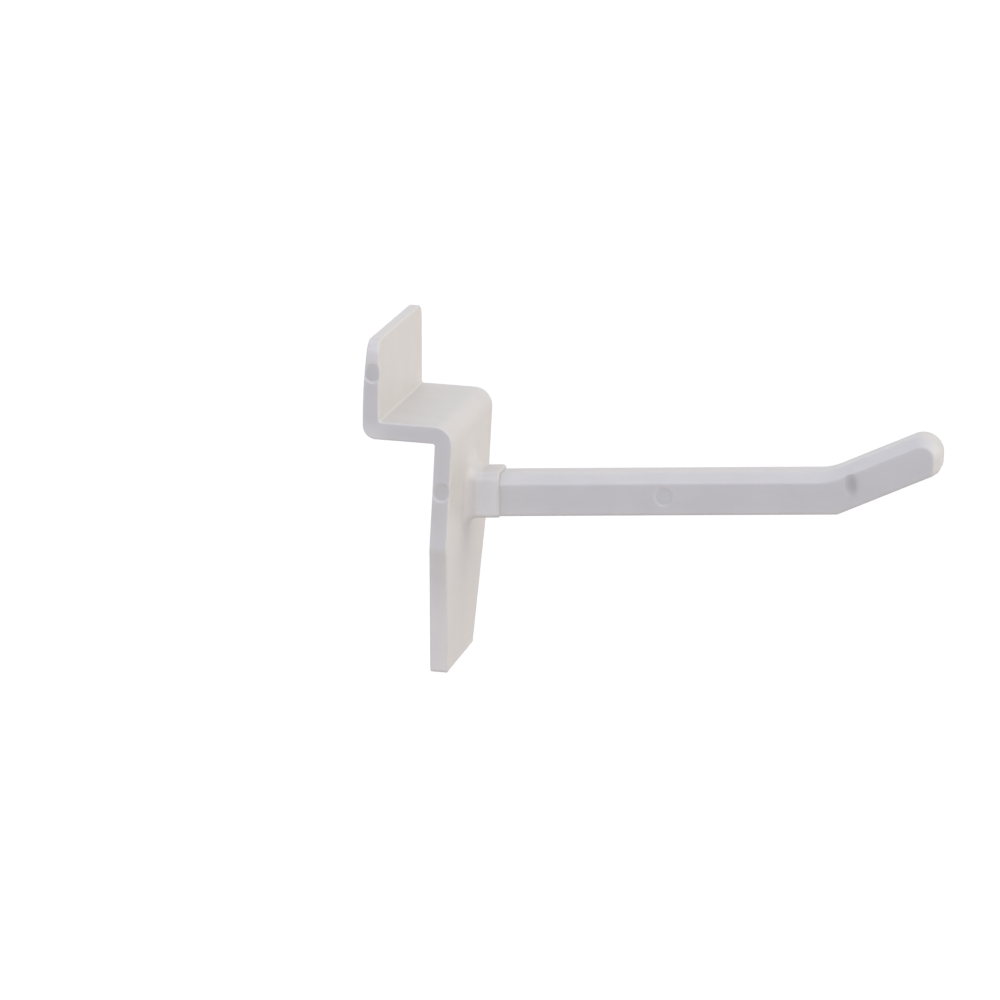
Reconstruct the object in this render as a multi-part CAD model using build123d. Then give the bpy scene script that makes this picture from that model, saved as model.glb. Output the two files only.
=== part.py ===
from build123d import *
import math
import os

os.makedirs("parts", exist_ok=True)

# Display hook for slotted wall panels, moulded in one piece. All sizes are in millimetres.
# X points out of the panel along the arm, Y runs across the hook and Z is up.
# The origin is the centre of the plate's flat back, which lies on the face of the panel.

# Plate that lies on the face of the panel. Its height runs from the shelf's top to the foot,
# and its sides taper from taper_drop below the shelf's top down to the foot.
plate_width = 40.0
plate_height = 40.5
plate_wall = 2.8
taper_drop = 19.5
taper_radius = 3.0
foot_width = 25.0
foot_radius = 0.6
front_bend_radius = 3.0

# Shelf that enters the slot, and the lip that turns up behind the panel. The throat is the gap
# for the panel's edge, from the plate's back to the lip. The lip's back bows out a little.
shelf_wall = 2.8
slot_throat = 8.9
lip_height = 12.8
lip_root_wall = 2.5
lip_edge_wall = 1.8
lip_bow = 0.4
lip_bow_height = 4.3
lip_crown_radius = 80.0
lip_corner_radius = 2.2
back_bend_radius = 2.2
inner_corner_radius = 0.4
edge_break = 0.3

# Arm that carries the goods, with its upturned tip. arm_drop runs from the shelf's top down to
# the arm's underside at the plate. arm_reach runs from the plate's front to the end of the tip,
# and tip_reach is its part beyond the bend's lower corner.
arm_drop = 16.9
arm_slope = 5.0
arm_width = 8.2
arm_depth = 6.6
arm_reach = 74.6
tip_reach = 15.6
tip_rise = 21.6
bend_radius = 8.0
bend_under_radius = 1.0
nose_radius = 3.2
nose_under_radius = 1.5
top_bevel = 1.5
nose_bevel = 1.0
arm_edge_radius = 0.5

# Collar at the arm's root, a step larger than the arm
collar_length = 5.8
collar_side_step = 0.35
collar_top_step = 0.6
collar_under_step = 0.2
collar_top_radius = 1.6
collar_under_radius = 0.7
collar_end_radius = 0.45
collar_root_radius = 2.6

# Round recesses that the mould's push pins leave on one side of the moulding, each with a flat
# floor and a sloping wall. Their places are measured from the shelf's top, from the plate's front
# and from the arm's underside.
pin_mark_radius = 1.6
pin_floor_radius = 1.2
pin_mark_depth = 0.22
lip_pin_height = 7.5
plate_pin_drop = 10.4
arm_pin_reach = 31.5
arm_pin_rise = 3.0

# Oval sink mark on that side of the bend, where the plastic is thickest. It stands square to the
# arm and is placed from the bend's lower corner.
sink_half_height = 2.0
sink_half_width = 1.1
sink_depth = 0.25
sink_reach = 1.7
sink_rise = 5.0

# Limits for picking edges, and how far a cutter runs past the hollow it makes
sharp_angle = 20.0
near = 0.001
overrun = 1.2

# Levels and places worked out from the sizes above
shelf_under_z = (plate_height - shelf_wall) / 2
shelf_top_z = shelf_under_z + shelf_wall
foot_z = shelf_top_z - plate_height
lip_top_z = shelf_top_z + lip_height
lip_back_x = -slot_throat - lip_root_wall
plate_half = plate_width / 2
arm_half = arm_width / 2
slope = math.radians(arm_slope)
rise = math.radians(arm_slope + tip_rise)
arm_under_z = shelf_top_z - arm_drop
bend_x = plate_wall + arm_reach - tip_reach
bend_z = arm_under_z + (bend_x - plate_wall) * math.tan(slope)


def rounded_face(corners):
    """Flat face with straight sides; each corner is (across, up, radius)."""
    face = make_face(Polyline(*[(across, up) for across, up, _ in corners], close=True))
    for across, up, radius in corners:
        if radius > 0:
            corner = min(face.vertices(), key=lambda v: math.hypot(v.X - across, v.Y - up))
            face = fillet(corner, radius)
    return face


def folded_plate():
    """Lip, shelf and plate: one folded section, trimmed to its outline as seen from the front."""
    section = rounded_face([
        (0, foot_z, 0),
        (plate_wall, foot_z, 0),
        (plate_wall, shelf_top_z, front_bend_radius),
        (-slot_throat, shelf_top_z, inner_corner_radius),
        (lip_back_x + lip_edge_wall, lip_top_z, 0),
        (lip_back_x, lip_top_z, 0),
        (lip_back_x - lip_bow, shelf_top_z + lip_bow_height, lip_crown_radius),
        (lip_back_x, shelf_under_z, back_bend_radius),
        (0, shelf_under_z, inner_corner_radius),
    ])
    taper_z = shelf_top_z - taper_drop
    outline = rounded_face([
        (-foot_width / 2, foot_z, foot_radius),
        (foot_width / 2, foot_z, foot_radius),
        (plate_half, taper_z, taper_radius),
        (plate_half, lip_top_z, lip_corner_radius),
        (-plate_half, lip_top_z, lip_corner_radius),
        (-plate_half, taper_z, taper_radius),
    ])
    folded = extrude(Plane.XZ * section, plate_half, both=True)
    blank = extrude(Plane.YZ.offset(lip_back_x - lip_bow) * outline, plate_wall - lip_back_x + lip_bow)
    plate = folded & blank
    return fillet(sharp_edges(plate), edge_break)


def sharp_edges(solid):
    """Edges where two faces meet at a clear angle, which is every edge not yet rounded.

    The seam of a closed face has that face on both sides and is left out.
    """
    sharp = []
    for edge in solid.edges():
        middle = edge @ 0.5
        sides = [face for face in solid.faces() if any(edge.is_same(e) for e in face.edges())]
        if len(sides) < 2:
            continue
        turn = sides[0].normal_at(middle).get_angle(sides[1].normal_at(middle))
        if turn > sharp_angle:
            sharp.append(edge)
    return sharp


def arm_line_z(x, up):
    """Height of the line that runs along the arm, up above its underside."""
    return arm_under_z + (x - plate_wall) * math.tan(slope) + up / math.cos(slope)


def tip_line_z(x, up):
    """Height of the line that runs along the tip, up above its underside."""
    return bend_z + (x - bend_x) * math.tan(rise) + up / math.cos(rise)


def bend_point(up):
    """Where the two lines at that height above the underside meet."""
    x = bend_x + up * (1 / math.cos(slope) - 1 / math.cos(rise)) / (math.tan(rise) - math.tan(slope))
    return x, arm_line_z(x, up)


def arm_outline(top_inset, nose_inset):
    """Side view of arm and tip, set in from its top and from its nose.

    The nose's two rounds share its height, so the upper one is no larger than the room it has.
    """
    root_x = plate_wall / 2
    nose_x = plate_wall + arm_reach - nose_inset
    up = arm_depth - top_inset
    under_radius = nose_under_radius - nose_inset / 2
    nose_room = up / math.cos(rise) - under_radius * math.tan(math.pi / 4 - rise / 2)
    largest_radius = 0.95 * nose_room / math.tan(math.pi / 4 + rise / 2)
    top_radius = min(nose_radius - (top_inset + nose_inset) / 2, largest_radius)
    return rounded_face([
        (root_x, arm_line_z(root_x, 0), 0),
        (*bend_point(0), bend_under_radius),
        (nose_x, tip_line_z(nose_x, 0), under_radius),
        (nose_x, tip_line_z(nose_x, up), top_radius),
        (*bend_point(up), bend_radius + top_inset),
        (root_x, arm_line_z(root_x, up), 0),
    ])


def bevelled_arm():
    """Arm and tip: a full core between two cheeks that slope in along the top and round the nose."""
    cheek = arm_outline(top_bevel, nose_bevel)
    core = arm_outline(0, 0)
    core_half = arm_half - top_bevel
    arm = loft([
        Plane.XZ.offset(arm_half) * cheek,
        Plane.XZ.offset(core_half) * core,
        Plane.XZ.offset(-core_half) * core,
        Plane.XZ.offset(-arm_half) * cheek,
    ], ruled=True)
    outer = [e for e in arm.edges() if min(abs(v.Y) for v in e.vertices()) > arm_half - near]
    return fillet([e for e in outer if (e @ 0.5).X > plate_wall], arm_edge_radius)


def root_collar():
    """Short sleeve round the arm where it leaves the plate."""
    half = arm_half + collar_side_step
    low = -collar_under_step
    high = arm_depth + collar_top_step
    section = rounded_face([
        (-half, low, collar_under_radius),
        (half, low, collar_under_radius),
        (half, high, collar_top_radius),
        (-half, high, collar_top_radius),
    ])
    along_arm = Vector(math.cos(slope), 0, math.sin(slope))
    start = Vector(plate_wall, 0, arm_under_z) - along_arm * plate_wall / 2
    square_to_arm = Plane(origin=start, x_dir=(0, 1, 0), z_dir=along_arm)
    collar = extrude(square_to_arm * section, collar_length + plate_wall / 2)
    end_face = collar.faces().sort_by(Axis.X)[-1]
    return fillet(end_face.edges(), collar_end_radius)


def round_root(hook):
    """Rounds the inside corner between the plate's front and the collar."""
    reach = arm_half + collar_side_step + near
    root = [
        e for e in hook.edges()
        if all(abs(v.X - plate_wall) < near and abs(v.Y) < reach for v in e.vertices())
        and abs((e @ 0.5).X - plate_wall) < near
    ]
    return fillet(root, collar_root_radius)


def pin_recess():
    """Cone that cuts a push pin's recess into a side face at Y = 0."""
    flare = (pin_mark_radius - pin_floor_radius) / pin_mark_depth
    mouth_radius = pin_mark_radius + flare * pin_mark_depth
    cone = Cone(mouth_radius, pin_floor_radius, 2 * pin_mark_depth)
    return Rot(-90, 0, 0) * cone


def sink_hollow():
    """Barrel that cuts the oval sink mark into a side face at Y = 0."""
    girth_radius = (sink_half_width ** 2 + sink_depth ** 2) / (2 * sink_depth)
    stave_radius = (sink_half_height ** 2 + sink_depth ** 2) / (2 * sink_depth)
    end_z = overrun * sink_half_height
    end_x = girth_radius - stave_radius + math.sqrt(stave_radius ** 2 - end_z ** 2)
    stave = ThreePointArc((end_x, -end_z), (girth_radius, 0), (end_x, end_z))
    ends = Polyline((end_x, end_z), (0, end_z), (0, -end_z), (end_x, -end_z))
    half_section = Plane.XZ * make_face([stave, ends])
    to_side_face = Pos(0, sink_depth - girth_radius, 0)
    return to_side_face * revolve(half_section, Axis.Z)


def moulding_marks():
    """Cutters for the shallow marks on the side that faces -Y."""
    lip_wall = lip_root_wall + (lip_edge_wall - lip_root_wall) * lip_pin_height / lip_height
    arm_pin_x = plate_wall + arm_pin_reach
    pin = pin_recess()
    sink = Rot(0, -arm_slope, 0) * sink_hollow()
    return [
        Pos(lip_back_x + lip_wall / 2, -plate_half, shelf_top_z + lip_pin_height) * pin,
        Pos(plate_wall / 2, -plate_half, shelf_top_z - plate_pin_drop) * pin,
        Pos(arm_pin_x, -arm_half, arm_line_z(arm_pin_x, arm_pin_rise)) * pin,
        Pos(bend_x + sink_reach, -arm_half, bend_z + sink_rise) * sink,
    ]


def display_hook():
    """The whole moulding."""
    hook = round_root(folded_plate() + bevelled_arm() + root_collar())
    return hook - moulding_marks()


export_step(display_hook().solid(), "parts/slatwall_hook.step")
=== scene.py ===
import math

import bpy
from mathutils import Matrix, Vector

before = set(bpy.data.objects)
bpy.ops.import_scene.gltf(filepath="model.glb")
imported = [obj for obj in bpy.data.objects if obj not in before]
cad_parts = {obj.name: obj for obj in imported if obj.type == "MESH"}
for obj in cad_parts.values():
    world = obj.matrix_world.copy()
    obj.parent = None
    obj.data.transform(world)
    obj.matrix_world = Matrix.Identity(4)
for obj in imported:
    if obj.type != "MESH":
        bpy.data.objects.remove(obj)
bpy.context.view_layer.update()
scene = bpy.context.scene


# Camera: a long lens one metre from the hook, a little above it and turned towards the front of
# the plate. It is placed by the corner where the shelf's top meets the panel's face, on the near side.
view_azimuth = math.radians(8.38)
view_elevation = math.radians(10.59)
view_roll = math.radians(3.14)
view_distance = 1.0
image_pixels = 1000
pixels_per_metre = 6440
corner = Vector((0, -0.020, 0.02165))
corner_pixel = (435.56, 426.63)
sensor_width = 36
clip_range = (0.01, 50)

frame_width = image_pixels / pixels_per_metre
corner_across = (corner_pixel[0] / image_pixels - 0.5) * frame_width
corner_up = (0.5 - corner_pixel[1] / image_pixels) * frame_width
towards_camera = Vector((
    math.sin(view_azimuth) * math.cos(view_elevation),
    -math.cos(view_azimuth) * math.cos(view_elevation),
    math.sin(view_elevation),
))
level = Vector((math.cos(view_azimuth), math.sin(view_azimuth), 0))
upright = towards_camera.cross(level)
across = level * math.cos(view_roll) + upright * math.sin(view_roll)
up = upright * math.cos(view_roll) - level * math.sin(view_roll)
centre = corner - across * corner_across - up * corner_up

camera_data = bpy.data.cameras.new("camera")
camera_data.sensor_width = sensor_width
camera_data.lens = sensor_width * view_distance / frame_width
camera_data.clip_start, camera_data.clip_end = clip_range
camera = bpy.data.objects.new("camera", camera_data)
turn = Matrix((across, up, towards_camera)).transposed().to_4x4()
camera.matrix_world = Matrix.Translation(centre + towards_camera * view_distance) @ turn
scene.collection.objects.link(camera)
scene.camera = camera


# Display hook: one injection moulding in milky white plastic, from the lip behind the panel to the
# arm's upturned tip. Its skin keeps the satin of the mould, with faint clouds and streaks where the
# melt ran and cooled, and light passes through its thin edges. It keeps its CAD shape.
plastic_colour = (0.715, 0.702, 0.690)
plastic_ior = 1.49
milkiness = 0.35
light_path = 0.0016
light_path_by_colour = (1.0, 0.9, 0.8)

# Clouds, flow streaks, satin, grain and waves of the skin. Sizes and heights are in metres, and depths
# and gains are shares of the colour. A middle is the part of the noise that makes the whole range.
tone_middle = (0.35, 0.65)
cloud_size = 0.006
cloud_detail = 3
cloud_depth = 0.014
streak_size = 0.0016
streak_stretch = 10
streak_depth = 0.005
satin_middle = (0.3, 0.7)
satin_range = (0.445, 0.475)
grain_size = 0.00030
grain_detail = 2
grain_height = 0.000010
wave_size = 0.009
wave_detail = 1
wave_height = 0.00004

# How far a face turns sideways, from 0 to 1, while it becomes an edge and while it becomes a side face
edge_turn = (0.20, 0.55)
side_turn = (0.80, 0.97)
# Painted light on bevels and rounded edges, as a share of the colour
edge_painted_light = 0.075

# Painted light that makes places of the side faces paler. Reach is measured along the arm from its
# root, and levels are heights.
# The shelf's back corner is an oval that fades from its rim inwards.
arm_slope = math.radians(5)
arm_root = (0.0028, 0, 0.00475)
collar_start = (0.0014, 0.0026)
collar_end = (0.0059, 0.0055)
collar_painted_light = 0.17
foot_levels = (0.012, -0.017)
foot_painted_light = 0.29
lip_levels = (0.0285, 0.0325)
lip_painted_light = 0.16
corner_place = (-0.0112, 0.0188)
corner_half_size = (0.0050, 0.0040)
corner_fade = (1.0, 0.2)
corner_painted_light = 0.13

# Shade in the step down from the collar to the arm
step_start = (0.0052, 0.0055)
step_end = (0.0061, 0.0058)
step_loss = 0.09

# Recesses of the push pins and the sink mark, on the side that faces -Y. Places are X and Z, each pin
# recess has its own painted shade on its floor, and fades are shares of the distance from the middle to
# the rim.
marked_turn = (-0.5, -0.9)
pin_floor_radius = 0.0012
pin_marks = {
    "lip": ((-0.01035, 0.02915), 0.09),
    "plate": ((0.0014, 0.01125), 0.05),
    "arm": ((0.0343, 0.01052), 0.01),
}
pin_fade = (1.05, 0.85)
pin_polish = 0.08
# The wall of the arm's recess gets painted shade where it faces up and painted light where it faces
# down
arm_wall_fade = (1.50, 1.35)
arm_wall_painted_shading = 0.14
sink_place = (0.06380, 0.01492)
sink_half_size = (0.0014, 0.0024)
sink_fade = (1.15, 0.1)
sink_loss = 0.21


def add_node(tree, kind, **settings):
    """Adds a node; a setting is either one of its inputs or one of its properties."""
    node = tree.nodes.new(kind)
    for name, value in settings.items():
        if name in node.inputs:
            node.inputs[name].default_value = value
        else:
            setattr(node, name, value)
    return node


def work_out(operation, *terms):
    """Maths on sockets and plain numbers, with at least one socket; returns the result's socket."""
    tree = next(term.id_data for term in terms if not isinstance(term, (int, float)))
    node = add_node(tree, "ShaderNodeMath", operation=operation)
    for slot, term in zip(node.inputs, terms):
        if isinstance(term, (int, float)):
            slot.default_value = term
        else:
            tree.links.new(term, slot)
    return node.outputs[0]


def plus(first, second):
    return work_out("ADD", first, second)


def minus(first, second):
    return work_out("SUBTRACT", first, second)


def times(first, second):
    return work_out("MULTIPLY", first, second)


def ramp(value, limits, low=0.0, high=1.0):
    """Smooth change from low to high while the value goes from the first limit to the second."""
    tree = value.id_data
    node = add_node(tree, "ShaderNodeMapRange", interpolation_type="SMOOTHSTEP")
    tree.links.new(value, node.inputs["Value"])
    for name, number in zip(("From Min", "From Max", "To Min", "To Max"), (*limits, low, high)):
        node.inputs[name].default_value = number
    return node.outputs["Result"]


def noise(vector, size, detail):
    """Noise whose features are about that many metres across."""
    tree = vector.id_data
    node = add_node(tree, "ShaderNodeTexNoise", Scale=1 / size, Detail=detail)
    tree.links.new(vector, node.inputs["Vector"])
    return node.outputs["Fac"]


def parts_of(vector):
    """The X, Y and Z of a vector."""
    tree = vector.id_data
    node = add_node(tree, "ShaderNodeSeparateXYZ")
    tree.links.new(vector, node.inputs[0])
    return node.outputs


def distance_in_oval(point, place, half_size, lean=0.0):
    """Distance from the middle of an oval on the side faces, which is 1 on its rim."""
    out = minus(point["X"], place[0])
    rise = minus(point["Z"], place[1])
    along = plus(times(out, math.cos(lean)), times(rise, math.sin(lean)))
    square_to = minus(times(rise, math.cos(lean)), times(out, math.sin(lean)))
    along = work_out("DIVIDE", along, half_size[0])
    square_to = work_out("DIVIDE", square_to, half_size[1])
    return work_out("SQRT", plus(times(along, along), times(square_to, square_to)))


plastic = bpy.data.materials.new("milky_white_plastic")
plastic.use_nodes = True
tree = plastic.node_tree
skin = tree.nodes["Principled BSDF"]
skin.inputs["IOR"].default_value = plastic_ior
skin.inputs["Subsurface Weight"].default_value = milkiness
skin.inputs["Subsurface Radius"].default_value = light_path_by_colour
skin.inputs["Subsurface Scale"].default_value = light_path

coordinates = add_node(tree, "ShaderNodeTexCoord")
position = coordinates.outputs["Object"]
point = parts_of(position)
facing = parts_of(coordinates.outputs["Normal"])

# Clouds, and flow streaks that run along X
stretch = add_node(tree, "ShaderNodeMapping", Scale=(1 / streak_stretch, 1, 1))
tree.links.new(position, stretch.inputs["Vector"])
clouds = noise(position, cloud_size, cloud_detail)
streaks = noise(stretch.outputs[0], streak_size, cloud_detail)
tone = plus(ramp(clouds, tone_middle, -cloud_depth, cloud_depth),
            ramp(streaks, tone_middle, -streak_depth, streak_depth))

# Side faces: painted light makes them paler at the collar, the foot, the lip's edge and the shelf's
# back corner, standing in for the light that comes through there
from_root = add_node(tree, "ShaderNodeVectorMath", operation="SUBTRACT")
tree.links.new(position, from_root.inputs[0])
from_root.inputs[1].default_value = arm_root
along_arm = add_node(tree, "ShaderNodeVectorMath", operation="DOT_PRODUCT")
tree.links.new(from_root.outputs[0], along_arm.inputs[0])
along_arm.inputs[1].default_value = (math.cos(arm_slope), 0, math.sin(arm_slope))
reach = along_arm.outputs["Value"]
collar = times(ramp(reach, collar_start), ramp(reach, collar_end))
painted_foot_light = ramp(point["Z"], foot_levels, 0, foot_painted_light)
painted_lip_light = ramp(point["Z"], lip_levels, 0, lip_painted_light)
to_corner = distance_in_oval(point, corner_place, corner_half_size)
painted_corner_light = ramp(to_corner, corner_fade, 0, corner_painted_light)
painted_side_light = plus(times(collar, collar_painted_light), plus(painted_foot_light, plus(painted_lip_light, painted_corner_light)))
sideways = work_out("ABSOLUTE", facing["Y"])
tone = plus(tone, times(ramp(sideways, side_turn), painted_side_light))

# Bevels and rounded edges: painted light makes them a little paler than the flat faces on both sides of
# them
edges = times(ramp(sideways, edge_turn), ramp(sideways, side_turn[::-1]))
tone = plus(tone, times(edges, edge_painted_light))

step = times(ramp(reach, step_start), ramp(reach, step_end))
tone = minus(tone, times(step, step_loss))

# Painted shade on the pins' recess floors, painted light and shade evening the arm recess's wall, a
# darker sink mark
marked = ramp(facing["Y"], marked_turn)
pins = 0.0
for pin_name, (pin_place, pin_painted_shade) in pin_marks.items():
    from_pin = distance_in_oval(point, pin_place, (pin_floor_radius, pin_floor_radius))
    pin = times(ramp(from_pin, pin_fade), marked)
    pins = plus(pin, pins)
    tone = minus(tone, times(pin, pin_painted_shade))
    if pin_name == "arm":
        wall = times(ramp(from_pin, arm_wall_fade), marked)
        tone = minus(tone, times(wall, times(facing["Z"], arm_wall_painted_shading)))
from_sink = distance_in_oval(point, sink_place, sink_half_size, arm_slope)
sink = times(ramp(from_sink, sink_fade), marked)
tone = minus(tone, times(sink, sink_loss))

colour = add_node(tree, "ShaderNodeVectorMath", operation="SCALE")
colour.inputs[0].default_value = plastic_colour
tree.links.new(plus(tone, 1.0), colour.inputs["Scale"])
tree.links.new(colour.outputs[0], skin.inputs["Base Color"])

# Satin of the mould, duller where the skin is cloudy and smoother on the floors of the recesses
satin = ramp(clouds, satin_middle, *satin_range)
tree.links.new(minus(satin, times(pins, pin_polish)), skin.inputs["Roughness"])

grain = add_node(tree, "ShaderNodeBump", Distance=grain_height)
tree.links.new(noise(position, grain_size, grain_detail), grain.inputs["Height"])
waves = add_node(tree, "ShaderNodeBump", Distance=wave_height)
tree.links.new(noise(position, wave_size, wave_detail), waves.inputs["Height"])
tree.links.new(grain.outputs[0], waves.inputs["Normal"])
tree.links.new(waves.outputs[0], skin.inputs["Normal"])

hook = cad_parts["slatwall_hook"]
for slot in hook.material_slots:
    slot.material = plastic


# Floor and light: a plain pale paper floor well below the hook and three broad lamps, a warm one in
# front of the arm and above it, a cool one on the near side and a weak one behind the lip. Floor and
# sky are white to the camera and in reflections, and the floor keeps the hook's shadow.
floor_drop = 0.10
floor_half = 20.0
floor_colour = (0.64, 0.60, 0.56)
floor_lift = (0.50, 0.55, 0.61)
floor_roughness = 0.9
sky_colour = (0.555, 0.53, 0.52)

# Each lamp: the place it shines from, its strength, its colour and its spread in degrees
lamps = {
    "key": ((0.89, 0.0, 0.45), 0.93, (1.0, 0.905, 0.745), 50),
    "fill": ((0, -0.79, 0.61), 0.90, (0.52, 0.67, 0.98), 60),
    "back": ((-0.75, 0.55, 0.30), 0.40, (1.0, 0.98, 0.96), 60),
}

floor_mesh = bpy.data.meshes.new("floor")
floor_mesh.from_pydata(
    [(x * floor_half, y * floor_half, -floor_drop) for x, y in ((-1, -1), (1, -1), (1, 1), (-1, 1))],
    [],
    [(0, 1, 2, 3)],
)
floor = bpy.data.objects.new("floor", floor_mesh)
scene.collection.objects.link(floor)


def seen_rays(tree):
    """1 for rays that show a background: from the camera, in a reflection or through glass."""
    ray = add_node(tree, "ShaderNodeLightPath")
    mirrored = work_out("MAXIMUM", ray.outputs["Is Camera Ray"], ray.outputs["Is Glossy Ray"])
    return work_out("MAXIMUM", mirrored, ray.outputs["Is Transmission Ray"])


paper = bpy.data.materials.new("pale_paper")
paper.use_nodes = True
tree = paper.node_tree
sheet = tree.nodes["Principled BSDF"]
sheet.inputs["Base Color"].default_value = (*floor_colour, 1)
sheet.inputs["Roughness"].default_value = floor_roughness
sheet.inputs["Specular IOR Level"].default_value = 0
sheet.inputs["Emission Color"].default_value = (*floor_lift, 1)
tree.links.new(seen_rays(tree), sheet.inputs["Emission Strength"])
floor_mesh.materials.append(paper)

for lamp_name, (lamp_place, strength, lamp_colour, spread) in lamps.items():
    lamp_data = bpy.data.lights.new(lamp_name, "SUN")
    lamp_data.color = lamp_colour
    lamp_data.energy = strength
    lamp_data.angle = math.radians(spread)
    lamp = bpy.data.objects.new(lamp_name, lamp_data)
    lamp.location = lamp_place
    lamp.rotation_euler = Vector(lamp_place).to_track_quat("Z", "Y").to_euler()
    scene.collection.objects.link(lamp)

world = bpy.data.worlds.new("studio")
scene.world = world
world.use_nodes = True
tree = world.node_tree
sky = tree.nodes["Background"]
sky.inputs["Color"].default_value = (*sky_colour, 1)
white = add_node(tree, "ShaderNodeBackground", Color=(1, 1, 1, 1))
mix = add_node(tree, "ShaderNodeMixShader")
tree.links.new(seen_rays(tree), mix.inputs["Fac"])
tree.links.new(sky.outputs[0], mix.inputs[1])
tree.links.new(white.outputs[0], mix.inputs[2])
tree.links.new(mix.outputs[0], tree.nodes["World Output"].inputs["Surface"])

scene.view_settings.view_transform = "Standard"
